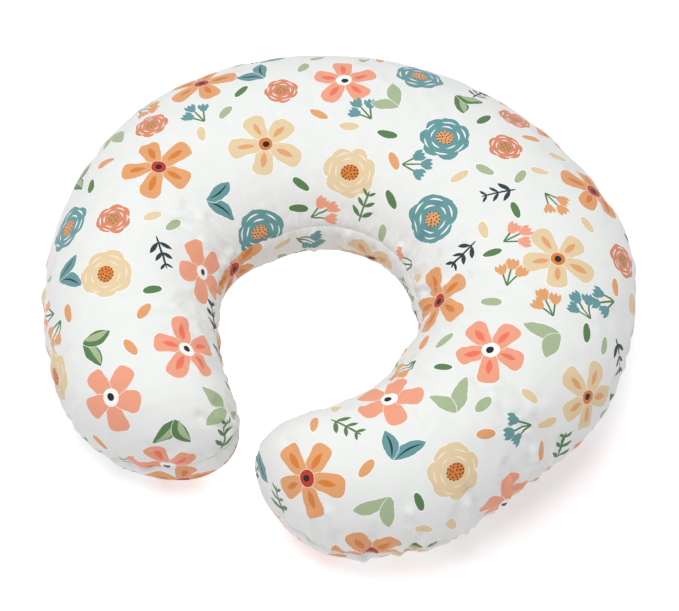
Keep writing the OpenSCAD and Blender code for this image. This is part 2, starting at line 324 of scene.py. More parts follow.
def mesh_object(name, points, faces, material, normals=None):
    mesh = bpy.data.meshes.new(name)
    mesh.from_pydata(points.tolist(), [], faces)
    mesh.polygons.foreach_set("use_smooth", np.ones(len(mesh.polygons), bool))
    mesh.materials.append(material)
    if normals is not None:
        mesh.normals_split_custom_set_from_vertices(normals.tolist())
    piece = bpy.data.objects.new(name, mesh)
    bpy.context.scene.collection.objects.link(piece)
    return piece


def weld(points, faces):
    """Merges points that coincide. Returns the kept point ids, the faces and the corners that are kept."""
    _, first, merged = np.unique(np.round(points, 7), axis=0, return_index=True, return_inverse=True)
    faces = merged.ravel()[faces]
    kept = faces != np.roll(faces, 1, axis=1)
    return first, [face[keep].tolist() for face, keep in zip(faces, kept)], kept


def grid_faces(rows, columns, outward):
    """Quads of a grid of points, wound so that their normals point outwards."""
    i, j = np.meshgrid(np.arange(rows - 1), np.arange(columns - 1), indexing="ij")
    corner = (i * columns + j).ravel()
    ring = [corner, corner + 1, corner + columns + 1, corner + columns]
    return np.stack(ring if outward < 0 else ring[::-1], axis=1)


def with_lips(points, normals):
    """Adds the seam allowance: columns past both edges that turn inwards."""
    before = [points[:, 0] - depth * normals[:, 0] for depth in LIP_DEPTHS[::-1]]
    after = [points[:, -1] - depth * normals[:, -1] for depth in LIP_DEPTHS]
    return np.concatenate([np.stack(before, axis=1), points, np.stack(after, axis=1)], axis=1)


def add_layer_attributes(piece, layers, kept):
    """Stores the painted shapes on the face corners, one attribute for each layer."""
    for k, layer in enumerate(layers):
        attribute = piece.data.attributes.new(f"print_{k}", "FLOAT_VECTOR", "CORNER")
        attribute.data.foreach_set("vector", layer[kept].ravel())


def add_thread_attribute(piece, along, across):
    """Stores the place on the fabric, in metres, for the weave."""
    place = np.stack([along.ravel(), across.ravel(), np.zeros(along.size)], axis=1)
    attribute = piece.data.attributes.new("fabric_place", "FLOAT_VECTOR", "POINT")
    attribute.data.foreach_set("vector", place.astype(np.float32).ravel())


def add_panel_halves(name, panel, points, material, replaced, layers=None):
    """Builds a panel as two meshes that meet in the middle of the back, one for each arm."""
    full = with_lips(points, grid_normals(points, panel.outward))
    full[0] = full[0].mean(axis=0)
    full[-1] = full[-1].mean(axis=0)
    normals = grid_normals(full, panel.outward)
    lips = len(LIP_DEPTHS)
    columns = full.shape[1]
    middle = len(full) // 2
    across = np.pad(panel.across, ((0, 0), (lips, lips)), mode="edge")
    along = np.repeat(panel.along[:, None], columns, axis=1)
    for side, rows in (("left", slice(0, middle + 1)), ("right", slice(middle, len(full)))):
        part = full[rows].reshape(-1, 3)
        ids, faces, kept = weld(part, grid_faces(middle + 1, columns, panel.outward))
        piece = mesh_object(f"{name}_{side}", part[ids], faces, material, normals[rows].reshape(-1, 3)[ids])
        add_thread_attribute(piece, along[rows].ravel()[ids], across[rows].ravel()[ids])
        if layers is not None:
            padded = np.tile(np.array(EMPTY, np.float32), (LAYERS, middle, columns - 1, 4, 1))
            cells = layers.reshape(LAYERS, len(full) - 1, -1, 4, 3)
            padded[:, :, lips:-lips] = cells[:, rows.start : rows.start + middle]
            add_layer_attributes(piece, padded.reshape(LAYERS, -1, 4, 3), kept)
        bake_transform(piece)
        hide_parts(*replaced)


# ---------------------------------------------------------------- cloth simulation


def low_pass(values, rows, columns):
    """Smooths a grid over a number of rows and columns; the columns close into a ring."""
    def blurred(grid, count, axis, mode):
        taps = np.hanning(count + 2)[1:-1]
        pads = [(0, 0), (0, 0)]
        pads[axis] = (count // 2, count // 2)
        padded = np.pad(grid, pads, mode=mode)
        return np.apply_along_axis(np.convolve, axis, padded, taps / taps.sum(), mode="valid")
    return blurred(blurred(values, rows, 0, "edge"), columns, 1, "wrap")


def run_cloth(form):
    """Blows up the form with its sewn vertices held still, and returns where all vertices end."""
    cloth = form.modifiers.new("swell", "CLOTH")
    cloth.settings.quality = 5
    cloth.settings.use_pressure = True
    cloth.settings.uniform_pressure_force = CLOTH_PRESSURE
    cloth.settings.shrink_min = -CLOTH_SLACK
    cloth.settings.shrink_max = -CLOTH_SLACK
    cloth.settings.bending_stiffness = CLOTH_BENDING
    cloth.settings.vertex_group_mass = "sewn"
    cloth.settings.effector_weights.gravity = 0
    cloth.point_cache.frame_end = CLOTH_FRAMES
    for number in range(1, CLOTH_FRAMES + 1):
        bpy.context.scene.frame_set(number)
    swollen = form.evaluated_get(bpy.context.evaluated_depsgraph_get()).data
    moved = np.empty(3 * len(swollen.vertices), np.float32)
    swollen.vertices.foreach_get("co", moved)
    return moved.reshape(-1, 3)


def puckers():
    """Fine relief of both panels: sewn edges hold still while slack fabric swells between them."""
    top, bottom = (Panel(is_top, 0.0, False, BODY_ROWS // 2, TIP_ROWS // 2, COLUMNS // 2)
                   for is_top in (True, False))
    columns = COLUMNS // 2
    points = np.concatenate([top.points, bottom.points[:, -2:0:-1]], axis=1)
    normals = np.concatenate([top.normals, bottom.normals[:, -2:0:-1]], axis=1)
    rows, around = points.shape[:2]
    start = points + normals * (CLOTH_START * ripple(top.along[:, None], 1.0))[..., None]
    start[0], start[-1] = points[0], points[-1]
    closed = np.concatenate([start, start[:, :1]], axis=1).reshape(-1, 3)
    ids, faces, _ = weld(closed, grid_faces(rows, around + 1, top.outward))
    form = mesh_object("cloth_form", closed[ids], faces, None)
    sewn = np.zeros((rows, around + 1), bool)
    sewn[:, [0, columns, around]] = True
    sewn[[0, -1]] = True
    group = form.vertex_groups.new(name="sewn")
    group.add(np.flatnonzero(sewn.ravel()[ids]).tolist(), 1.0, "REPLACE")
    moved = run_cloth(form)
    bpy.data.objects.remove(form)
    bpy.context.scene.frame_set(1)
    same = {tuple(np.round(point, 7)): k for k, point in enumerate(closed[ids])}
    lookup = np.array([same[tuple(np.round(point, 7))] for point in closed]).reshape(rows, around + 1)[:, :-1]
    rise = ((moved[lookup] - points) * normals).sum(axis=-1)
    fine = rise - low_pass(rise, WIDEST_WAVE, WIDEST_WAVE)
    fine = fine * np.clip(points[..., 2] / RESTING_FADE, 0, 1)
    top_half = fine[:, : columns + 1]
    bottom_half = np.concatenate([fine[:, :1], fine[:, :columns - 1:-1]], axis=1)
    return finer(top_half), finer(bottom_half)


def clear_of_zip(panel):
    """Share of the cloth relief that is kept: none of it beside the zip, where the slider runs."""
    past_zip = smooth_step((math.degrees(1) * np.abs(panel.along[:, None]) / ARC_R[0] - 51) / 5)
    return 1 - (1 - past_zip) * np.exp(-((panel.outer_dist / 0.016) ** 2))


def finer(grid):
    """Values of a grid with twice as many rows and columns."""
    for axis in (0, 1):
        count = grid.shape[axis]
        places = np.linspace(0, count - 1, 2 * count - 1)
        grid = np.apply_along_axis(lambda line: np.interp(places, np.arange(count), line), axis, grid)
    return grid


# ---------------------------------------------------------------- printed pattern

# Kinds of shape, and the powers that round off the length and the width of each.
ROUND, POINTED, BLUNT, PETAL = range(4)
SHAPE_POWERS = [(2.0, 2.0), (1.9, 1.15), (6.0, 2.0), (3.6, 2.3)]
LAYERS = 7
EMPTY = (9.0, 9.0, 0.02)
STYLES_PER_SHAPE = 20
PAINTS = {
    "ground": "EEF0EE", "cream": "F6E6CC", "coral": "F2A486", "coral_deep": "F27662",
    "orange": "E6A570", "orange_deep": "DA8038", "red": "C03A28", "beige": "E8D0A8",
    "teal": "669A9E", "navy": "2C3E46", "green": "5A8150", "light_green": "AABC96",
    "rust": "DC8C6C", "ochre": "C8905E", "white": "FBFCFA", "ink": "26201F",
}
PAINT_NAMES = list(PAINTS)


def linear(code):
    """Linear RGB of a six-digit sRGB code."""
    values = [int(code[k : k + 2], 16) / 255 for k in (0, 2, 4)]
    return [v / 12.92 if v < 0.04045 else ((v + 0.055) / 1.055) ** 2.4 for v in values]


class Chart:
    """A flat patch of a panel round one place, in millimetres, on which shapes are painted."""

    def __init__(self, prints, row, column, turn, reach=70 * MM):
        panel = prints.panel
        origin = panel.points[row, column]
        normal = panel.normals[row, column]
        e_along = unit(panel.points[min(row + 1, len(panel.s) - 1), column] - panel.points[row - 1, column])
        e_along = unit(e_along - normal * (e_along @ normal))
        e_across = np.cross(normal, e_along)
        outwards = panel.points[row, max(column - 1, 0)] - panel.points[row, min(column + 1, COLUMNS)]
        if e_across @ outwards < 0:
            e_across = -e_across
        near = np.linalg.norm(panel.points - origin, axis=-1) < reach
        near &= panel.normals @ normal > -0.3
        ids = np.flatnonzero(near.ravel())
        offset = panel.points.reshape(-1, 3)[ids] - origin
        other = panel.normals.reshape(-1, 3)[ids]
        cosine = np.clip(other @ normal, -1, 1)
        bend = other - cosine[:, None] * normal
        sine = np.linalg.norm(bend, axis=1)
        stretch = np.where(sine > 1e-4, np.arccos(cosine) / np.maximum(sine, 1e-4), 1.0) - 1
        bend = unit(bend)
        lies = offset - (offset @ normal)[:, None] * normal
        lies = lies + ((lies * bend).sum(axis=1) * stretch)[:, None] * bend
        self.x = lies @ e_along / MM
        self.y = lies @ e_across / MM
        self.prints = prints
        lookup = np.full(near.size, -1)
        lookup[ids] = np.arange(len(ids))
        corner = lookup[prints.faces]
        self.faces = np.flatnonzero((corner >= 0).all(axis=1))
        self.corner = corner[self.faces]
        self.turn = turn

    def toward(self, angle, length):
        """Step on the fabric of this length, at this angle in degrees from the motif's own direction."""
        turn = math.radians(angle + self.turn)
        return np.array([math.cos(turn), math.sin(turn)]) * length

    def shape(self, start, end, half, paint, kind=ROUND, bend=0.0, taper=0.0, halo=0.0):
        """Paints a shape that runs from start to end with a half width, all in millimetres."""
        start, end = np.asarray(start, float), np.asarray(end, float)
        length = max(np.linalg.norm(end - start), 1e-6) / 2
        axis = (end - start) / (2 * length)
        centre = (start + end) / 2
        dx, dy = self.x - centre[0], self.y - centre[1]
        u = (dx * axis[0] + dy * axis[1]) / length
        w = dy * axis[0] - dx * axis[1] - bend * (1 - u * u)
        w = w / (half * (1 + taper * np.clip(u, -1.3, 1.3)))
        style = PAINT_NAMES.index(paint) + STYLES_PER_SHAPE * kind
        self.prints.paint(self, u, w, style, min(0.9, 2 * halo / half))

    def disc(self, centre, radius, paint, halo=0.0, squeeze=1.0):
        offset = np.array([radius, 0.0])
        centre = np.asarray(centre)
        self.shape(centre - offset, centre + offset, radius * squeeze, paint, halo=halo)


class Prints:
    """The painted layers of one panel. Each face keeps the last shapes painted over it."""

    def __init__(self, panel):
        self.panel = panel
        rows, columns = panel.across.shape
        self.faces = grid_faces(rows, columns, panel.outward)
        self.layers = np.tile(np.array(EMPTY, np.float32), (LAYERS, len(self.faces), 4, 1))
        self.count = np.zeros(len(self.faces), int)

    def painted(self):
        """Which grid points have a painted face beside them."""
        rows, columns = self.panel.across.shape
        return np.pad(self.count.reshape(rows - 1, columns - 1) > 0, ((0, 1), (0, 1)), mode="edge")

    def paint(self, chart, u, w, style, halo):
        corner_u, corner_w = u[chart.corner], w[chart.corner]
        limit = 1.15 + halo / 2
        touched = (corner_u.min(axis=1) < limit) & (corner_u.max(axis=1) > -limit)
        touched &= (corner_w.min(axis=1) < limit) & (corner_w.max(axis=1) > -limit)
        faces = chart.faces[touched]
        corner_u, corner_w = corner_u[touched], corner_w[touched]
        kind = style // STYLES_PER_SHAPE
        value = np.abs(corner_u) ** SHAPE_POWERS[kind][0] + np.abs(corner_w) ** SHAPE_POWERS[kind][1]
        self.count[faces[value.max(axis=1) < 0.6]] = 0
        full = faces[self.count[faces] >= LAYERS]
        self.layers[:-1, full] = self.layers[1:, full]
        self.count[full] = LAYERS - 1
        slot = self.count[faces]
        values = np.stack([corner_u, corner_w, np.full_like(corner_u, style + 0.02 + halo)], axis=-1)
        self.layers[slot, faces] = values
        for k in range(1, LAYERS):
            above = faces[slot + k < LAYERS]
            self.layers[self.count[above] + k, above] = EMPTY
        self.count[faces] = slot + 1


def eye(chart, kind):
    """Middle of a flower."""
    if kind == "white":
        chart.disc((0, 0), 6.8, "white")
        chart.disc((0.6, -0.3), 3.1, "ink", squeeze=0.85)
    elif kind == "red":
        chart.disc((0, 0), 6.6, "red", halo=0.3)
        chart.disc((0.3, -0.2), 3.0, "ink", squeeze=0.9)
    elif kind == "orange":
        chart.disc((0, 0), 6.0, "orange_deep", halo=0.3)
        chart.disc((0.2, -0.3), 3.0, "ink", squeeze=0.9)


def flower(chart, count, length, half, fill, streak, middle):
    """A plain blossom of evenly spaced petals, each with one brushed streak."""
    for k in range(count):
        uneven = 1 + 0.07 * math.sin(2.4 * k + length)
        tip = chart.toward(360 * k / count, length * uneven)
        chart.shape(tip * 0.1, tip, half, fill, PETAL, taper=0.3, halo=0.55)
        if streak:
            chart.shape(tip * 0.3, tip * 0.78, half * 0.32, streak, POINTED)
    eye(chart, middle)


def leaf(chart, angle, length, half, fill, bend=0.0, vein=None, shade=None):
    tip = chart.toward(angle, length)
    chart.shape((0, 0), tip, half, fill, POINTED, bend, halo=0.3)
    side = np.array([-tip[1], tip[0]]) / max(np.linalg.norm(tip), 1e-6)
    if shade:
        shift = side * half * 0.42
        chart.shape(tip * 0.08 + shift, tip * 0.94 + shift * 0.5, half * 0.45, shade, POINTED, bend)
    if vein:
        chart.shape(tip * 0.1, tip * 0.88, half * 0.14, vein, POINTED, bend)


def stem(chart, angle, length, half, paint="green"):
    chart.shape((0, 0), chart.toward(angle, length), half, paint, BLUNT)


def speckled(chart, radius, paint="orange_deep"):
    """Round middle with a ring of short dark seeds."""
    chart.disc((0, 0), radius, paint, squeeze=0.9)
    rings = ((0.82, 13), (0.5, 8), (0.18, 3)) if radius > 6 else ((0.75, 7), (0.3, 3))
    for ring, count in rings:
        for k in range(count):
            turn = 2 * math.pi * (k + 0.37 * ring * 10) / count
            seed = np.array([math.cos(turn), math.sin(turn) * 0.9]) * radius
            chart.shape(seed * ring, seed * (ring + 0.2), max(radius * 0.07, 0.4), "ink", BLUNT)


def rose(chart, radius, fill, heart, highlight="white"):
    """Round flower: lobes, two rings of thin arcs and a speckled middle."""
    lobes = 7
    for k in range(lobes):
        chart.disc(chart.toward(360 * k / lobes, radius * 0.5), radius * 0.5, fill, halo=0.55)
    chart.disc((0, 0), radius * 0.9, fill)
    for ring, count in ((0.78, 6), (0.54, 5)):
        spread = 125 / count
        sagitta = radius * ring * (1 - math.cos(math.radians(spread)))
        for k in range(count):
            middle = 360 * (k + ring) / count
            start = chart.toward(middle - spread, radius * ring)
            end = chart.toward(middle + spread, radius * ring)
            chart.shape(start, end, radius * 0.032, highlight, POINTED, bend=-sagitta)
    speckled(chart, radius * 0.34, heart)


def leaf_pair(chart, length, half, fill, vein=None, shade=None):
    """Two leaves that spread from one point."""
    leaf(chart, 55, length, half, fill, 2, vein, shade)
    leaf(chart, 125, length * 0.86, half, fill, -2, vein, shade)


def cup(chart, at, angle, size, fill):
    """Small flower cup with three points."""
    for lean, reach in ((-32, 1.0), (32, 1.0), (0, 0.9)):
        chart.shape(at + chart.toward(angle, -0.35 * size), at + chart.toward(angle + lean, size * reach),
                    size * 0.3, fill, POINTED, bend=size * 0.004 * lean)
    chart.disc(at + chart.toward(angle, -0.1 * size), size * 0.48, fill)


def posy(chart, length, size, fill):
    """Three cups on stems from one point."""
    for angle, share in ((62, 0.8), (92, 1.0), (120, 0.75)):
        stem(chart, angle, length * share, 0.8)
        cup(chart, chart.toward(angle, length * share), angle, size, fill)


def twig(chart, length, pairs, paint):
    """A stem with evenly spaced leaves on both sides."""
    stem(chart, 90, length, 0.9, paint)
    for k in range(pairs):
        root = chart.toward(90, length * (k + 0.5) / pairs)
        reach = length * (0.42 - 0.08 * k)
        for lean in (-48, 48):
            chart.shape(root, root + chart.toward(90 + lean, reach), reach * 0.16, paint, POINTED)


def spot(chart, length, half, fill):
    """A lone rounded petal."""
    tip = chart.toward(0, length)
    chart.shape(-tip / 2, tip / 2, half, fill, halo=0.55)


# The print's motifs, largest first: free radius that each needs, in mm, then how it is drawn.
LARGE_MOTIFS = [
    (42, flower, (5, 29, 8.0, "coral", "coral_deep", "white")),
    (42, flower, (5, 30, 8.4, "beige", "orange", "orange")),
    (42, flower, (5, 31, 8.2, "orange", "orange_deep", "red")),
    (36, rose, (22, "teal", "orange")),
    (42, flower, (5, 27, 8.2, "coral", None, "white")),
    (36, rose, (22, "beige", "orange_deep", "cream")),
]
MIDDLE_MOTIFS = [
    (21, leaf_pair, (30, 6.0, "light_green")),
    (19, posy, (20, 7.5, "teal")),
    (21, leaf_pair, (30, 6.0, "teal", "navy")),
    (19, twig, (30, 3, "navy")),
    (21, leaf_pair, (28, 6.0, "green", None, "light_green")),
    (19, posy, (20, 7.5, "orange")),
    (20, rose, (15, "rust", "ochre")),
    (19, twig, (30, 3, "green")),
    (19, posy, (20, 7.5, "coral")),
]
SMALL_MOTIFS = [
    (12, spot, (17, 3.8, "light_green")),
    (12, spot, (17, 3.8, "orange")),
    (12, spot, (17, 3.4, "green")),
    (12, spot, (17, 3.8, "beige")),
]

# Order of the tried places, degrees from one motif's turn to the next, and where the bottom panel starts.
GOLDEN_SHARE = 0.6180339887
TURN_STEP = 137.5
BOTTOM_PRINT_START = 4


def scatter(prints, motifs, first):
    """Lays the motifs in order, each turned further than the last, wherever the fabric is still free."""
    panel = prints.panel
    places = [(row, column) for row in range(6, len(panel.s) - 6, 4) for column in range(4, COLUMNS - 3, 4)]
    order = np.argsort((np.arange(len(places)) + first) * GOLDEN_SHARE % 1)
    done = first
    for row, column in (places[k] for k in order):
        room, draw, details = motifs[done % len(motifs)]
        near = np.linalg.norm(panel.points[::3, ::3] - panel.points[row, column], axis=-1) < room * MM
        if prints.painted()[::3, ::3][near].any():
            continue
        draw(Chart(prints, row, column, TURN_STEP * done), *details)
        done += 1


# ---------------------------------------------------------------- materials


def add_node(tree, kind, inputs=(), **settings):
    """Adds a node, sets its properties, and links or sets its inputs, given by name or number."""
    node = tree.nodes.new(kind)
    for name, value in settings.items():
        setattr(node, name, value)
    for key, value in dict(inputs).items():
        if isinstance(value, bpy.types.NodeSocket):
            tree.links.new(value, node.inputs[key])
        else:
            node.inputs[key].default_value = value
    return node


def math_node(tree, operation, *values):
    return add_node(tree, "ShaderNodeMath", enumerate(values), operation=operation).outputs[0]


def mix_colour(tree, factor, first, second):
    node = add_node(tree, "ShaderNodeMix", data_type="RGBA")
    for key, value in ((0, factor), (6, first), (7, second)):
        if isinstance(value, bpy.types.NodeSocket):
            tree.links.new(value, node.inputs[key])
        else:
            node.inputs[key].default_value = value
    return node.outputs[2]


def new_material(name, colour, roughness, **inputs):
    """A Principled material. Returns it with its node tree and shader node."""
    material = bpy.data.materials.new(name)
    material.use_nodes = True
    tree = material.node_tree
    shader = next(n for n in tree.nodes if n.type == "BSDF_PRINCIPLED")
    shader.inputs["Base Color"].default_value = (*linear(colour), 1)
    shader.inputs["Roughness"].default_value = roughness
    for key, value in inputs.items():
        shader.inputs[key.replace("_", " ")].default_value = value
    return material, tree, shader


def weave_height(tree, place, pitch, warp=0.35):
    """Height of a plain weave whose threads are a pitch apart, in metres, at a place on the fabric."""
    split = add_node(tree, "ShaderNodeSeparateXYZ", {0: place})
    waves = []
    for axis in (0, 1):
        scaled = math_node(tree, "MULTIPLY", split.outputs[axis], math.pi / pitch)
        waves.append(math_node(tree, "ABSOLUTE", math_node(tree, "SINE", scaled)))
    fuzz = add_node(tree, "ShaderNodeTexNoise", {"Vector": place, "Scale": 900.0, "Detail": 2.0})
    height = math_node(tree, "MULTIPLY_ADD", waves[0], 0.5, math_node(tree, "MULTIPLY", waves[1], 0.5))
    return math_node(tree, "MULTIPLY_ADD", fuzz.outputs["Fac"], warp, height)


def add_bump(tree, shader, height, strength, distance):
    bump = add_node(tree, "ShaderNodeBump", {"Height": height, "Strength": strength, "Distance": distance})
    tree.links.new(bump.outputs[0], shader.inputs["Normal"])


def print_layer_group():
    """Node group that paints one layer: the shape's halo and then its fill over the colour below."""
    group = bpy.data.node_groups.new("print_layer", "ShaderNodeTree")
    sockets = (("Place", "NodeSocketVector"), ("Wobble", "NodeSocketFloat"), ("Below", "NodeSocketColor"))
    for name, kind in sockets:
        group.interface.new_socket(name, in_out="INPUT", socket_type=kind)
    group.interface.new_socket("Colour", in_out="OUTPUT", socket_type="NodeSocketColor")
    source = group.nodes.new("NodeGroupInput")
    sink = group.nodes.new("NodeGroupOutput")
    split = add_node(group, "ShaderNodeSeparateXYZ", {0: source.outputs["Place"]})
    style = math_node(group, "FLOOR", split.outputs[2])
    halo = math_node(group, "SUBTRACT", math_node(group, "FRACT", split.outputs[2]), 0.02)
    kind = math_node(group, "FLOOR", math_node(group, "DIVIDE", math_node(group, "ADD", style, 0.5),
                                               STYLES_PER_SHAPE))
    colour = math_node(group, "SUBTRACT", style, math_node(group, "MULTIPLY", kind, STYLES_PER_SHAPE))
    powers = []
    for axis in (0, 1):
        power = SHAPE_POWERS[ROUND][axis]
        for other in (POINTED, BLUNT, PETAL):
            is_kind = math_node(group, "COMPARE", kind, other, 0.5)
            change = SHAPE_POWERS[other][axis] - SHAPE_POWERS[ROUND][axis]
            power = math_node(group, "MULTIPLY_ADD", is_kind, change, power)
        size = math_node(group, "ABSOLUTE", split.outputs[axis])
        powers.append(math_node(group, "POWER", size, power))
    value = math_node(group, "ADD", math_node(group, "ADD", *powers), source.outputs["Wobble"])
    inside = math_node(group, "LESS_THAN", value, 1.0)
    in_halo = math_node(group, "LESS_THAN", value, math_node(group, "ADD", halo, 1.0))
    ramp = group.nodes.new("ShaderNodeValToRGB")
    ramp.color_ramp.interpolation = "CONSTANT"
    stops = ramp.color_ramp.elements
    for k, name in enumerate(PAINT_NAMES):
        stop = stops[k] if k < len(stops) else stops.new(k / STYLES_PER_SHAPE)
        stop.position = k / STYLES_PER_SHAPE
        stop.color = (*linear(PAINTS[name]), 1)
    centred = math_node(group, "DIVIDE", math_node(group, "ADD", colour, 0.5), STYLES_PER_SHAPE)
    group.links.new(centred, ramp.inputs[0])
    white = (*linear(PAINTS["white"]), 1)
    edged = mix_colour(group, in_halo, source.outputs["Below"], white)
    filled = mix_colour(group, inside, edged, ramp.outputs["Color"])
    group.links.new(filled, sink.inputs["Colour"])
    return group


def cover_material():
    material, tree, shader = new_material("cover_print", PAINTS["ground"], 0.82, Sheen_Weight=0.25,
                                          Sheen_Roughness=0.5, Specular_IOR_Level=0.25)
    place = add_node(tree, "ShaderNodeAttribute", attribute_name="fabric_place").outputs["Vector"]
    coarse = add_node(tree, "ShaderNodeTexNoise", {"Vector": place, "Scale": 60.0, "Detail": 0.0})
    fine = add_node(tree, "ShaderNodeTexNoise", {"Vector": place, "Scale": 210.0, "Detail": 2.0})
    wobble = math_node(tree, "MULTIPLY_ADD", coarse.outputs["Fac"], 0.9, -0.45 - 0.15)
    wobble = math_node(tree, "MULTIPLY_ADD", fine.outputs["Fac"], 0.3, wobble)
    group = print_layer_group()
    colour = add_node(tree, "ShaderNodeRGB")
    colour.outputs[0].default_value = (*linear(PAINTS["ground"]), 1)
    below = colour.outputs[0]
    for k in range(LAYERS):
        layer = add_node(tree, "ShaderNodeAttribute", attribute_name=f"print_{k}")
        painted = tree.nodes.new("ShaderNodeGroup")
        painted.node_tree = group
        tree.links.new(layer.outputs["Vector"], painted.inputs["Place"])
        tree.links.new(wobble, painted.inputs["Wobble"])
        tree.links.new(below, painted.inputs["Below"])
        below = painted.outputs["Colour"]
    brush = add_node(tree, "ShaderNodeTexNoise", {"Vector": place, "Scale": 60.0, "Detail": 4.0})
    shade = math_node(tree, "MULTIPLY_ADD", brush.outputs["Fac"], 0.07, 0.965)
    final = add_node(tree, "ShaderNodeVectorMath", {0: below}, operation="SCALE")
    tree.links.new(shade, final.inputs["Scale"])
    tree.links.new(final.outputs[0], shader.inputs["Base Color"])
    add_bump(tree, shader, weave_height(tree, place, 0.0006), 0.25, 0.00008)
    return material


def fabric_material(name, colour, pitch, strength, place_kind="position"):
    """Plain woven fabric. The weave follows the fabric's own place, or the position in the frame."""
    material, tree, shader = new_material(name, colour, 0.85, Sheen_Weight=0.2, Sheen_Roughness=0.5,
                                          Specular_IOR_Level=0.2)
    if place_kind == "fabric":
        place = add_node(tree, "ShaderNodeAttribute", attribute_name="fabric_place").outputs["Vector"]
    else:
        place = add_node(tree, "ShaderNodeTexCoord").outputs["Object"]
    cloud = add_node(tree, "ShaderNodeTexNoise", {"Vector": place, "Scale": 80.0, "Detail": 3.0})
    low = [c * 0.93 for c in linear(colour)]
    tone = mix_colour(tree, cloud.outputs["Fac"], (*low, 1), (*linear(colour), 1))
    tree.links.new(tone, shader.inputs["Base Color"])
    add_bump(tree, shader, weave_height(tree, place, pitch), strength, 0.0001)
    return material


def fibre_material():
    """Matted polyester fibre."""
    material, tree, shader = new_material("fibre_fill", "F4F4F2", 0.9, Sheen_Weight=0.4)
    place = add_node(tree, "ShaderNodeTexCoord").outputs["Object"]
    swirl = add_node(tree, "ShaderNodeTexNoise", {"Vector": place, "Scale": 220.0, "Detail": 6.0,
                                                  "Distortion": 2.5})
    tone = mix_colour(tree, swirl.outputs["Fac"], (*linear("E2E2DE"), 1), (*linear("FAFAF8"), 1))
    tree.links.new(tone, shader.inputs["Base Color"])
    add_bump(tree, shader, swirl.outputs["Fac"], 0.7, 0.0008)
    return material


def metal_material():
    """Plated zinc with fine polishing marks."""
    material, tree, shader = new_material("zip_metal", "C9C8C4", 0.28, Metallic=1.0)
    place = add_node(tree, "ShaderNodeTexCoord").outputs["Object"]
    marks = add_node(tree, "ShaderNodeTexNoise", {"Vector": place, "Scale": 2500.0, "Detail": 3.0})
    rough = math_node(tree, "MULTIPLY_ADD", marks.outputs["Fac"], 0.22, 0.2)
    tree.links.new(rough, shader.inputs["Roughness"])
    add_bump(tree, shader, marks.outputs["Fac"], 0.15, 0.00003)
    return material


def teeth_material():
    """White nylon of the zip's coils."""
    material, tree, shader = new_material("zip_nylon", "F0F0EE", 0.38, Subsurface_Weight=0.1)
    place = add_node(tree, "ShaderNodeTexCoord").outputs["Object"]
    cloud = add_node(tree, "ShaderNodeTexNoise", {"Vector": place, "Scale": 900.0, "Detail": 2.0})
    rough = math_node(tree, "MULTIPLY_ADD", cloud.outputs["Fac"], 0.2, 0.28)
    tree.links.new(rough, shader.inputs["Roughness"])
    return material


def thread_material():
    """Twisted sewing thread."""
    material, tree, shader = new_material("thread", "F3F2EE", 0.6, Sheen_Weight=0.3)
    place = add_node(tree, "ShaderNodeTexCoord").outputs["Object"]
    twist = add_node(tree, "ShaderNodeTexWave", {"Vector": place, "Scale": 700.0, "Distortion": 1.0})
    tone = mix_colour(tree, twist.outputs["Fac"], (*linear("DEDDD8"), 1), (*linear("F8F7F3"), 1))
    tree.links.new(tone, shader.inputs["Base Color"])
    add_bump(tree, shader, twist.outputs["Fac"], 0.4, 0.00005)
    return material


# ---------------------------------------------------------------- zip, filling and small pieces


def tube(path, radius, sides):
    """Points and quads of a tube along a path."""
    forward = unit(np.gradient(path, axis=0))
    side = unit(np.cross(forward, np.array([0.0, 0.0, 1.0]) + 0.3 * forward[:, ::-1]))
    up = np.cross(side, forward)
    turn = np.linspace(0, 2 * math.pi, sides, endpoint=False)
    ring = np.cos(turn)[None, :, None] * side[:, None] + np.sin(turn)[None, :, None] * up[:, None]
    points = path[:, None] + radius * ring
    i, j = np.meshgrid(np.arange(len(path) - 1), np.arange(sides), indexing="ij")
    after = (j + 1) % sides
    corners = [i * sides + j, i * sides + after, (i + 1) * sides + after, (i + 1) * sides + j]
    return points.reshape(-1, 3), np.stack([c.ravel() for c in corners], axis=1)


def add_coil(name, side, material):
    """One row of zip teeth, as the nylon coil that it is."""
    turns = int(2 * ZIP_COIL_ANGLE * ZIP_R / COIL_PITCH)
    phase = np.linspace(0, turns, turns * 12 + 1)
    angle = -ZIP_COIL_ANGLE + 2 * ZIP_COIL_ANGLE * (phase + 0.25 * side) / turns
    wind = 2 * math.pi * phase
    radius = ZIP_R - 0.9 * MM + 0.45 * MM * np.cos(wind)
    height = WAIST_Z + side * (1.2 + 1.05 * np.sin(wind)) * MM
    path = np.stack([radius * np.sin(angle), radius * np.cos(angle) - ARC_R[0], height], axis=1)
    points, faces = tube(path, 0.24 * MM, 6)
    piece = mesh_object(name, points, faces.tolist(), material)
    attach(piece, "pillow_back")
    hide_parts(name.replace("_teeth", ""))


def stitch(start, end, normal):
    """Points and faces of one stitch that sinks into the fabric at both ends."""
    middle = (start + end) / 2
    axis = end - start
    across = np.cross(unit(axis), normal)
    points, rings, sides = [], 5, 6
    for k in range(rings):
        t = k / (rings - 1) * 2 - 1
        swell = math.sqrt(max(0.0, 1 - 0.85 * t * t)) * 0.24 * MM
        centre = middle + axis * t / 2 + normal * (0.10 - 0.22 * t**4) * MM
        for j in range(sides):
            turn = 2 * math.pi * j / sides
            points.append(centre + swell * (math.cos(turn) * across + math.sin(turn) * normal))
    faces = []
    for k in range(rings - 1):
        low, high = k * sides, (k + 1) * sides
        for j in range(sides):
            beside = (j + 1) % sides
            faces.append([low + j, low + beside, high + beside, high + j])
    faces.append(list(range(sides))[::-1])
    faces.append([(rings - 1) * sides + j for j in range(sides)])
    return points, faces


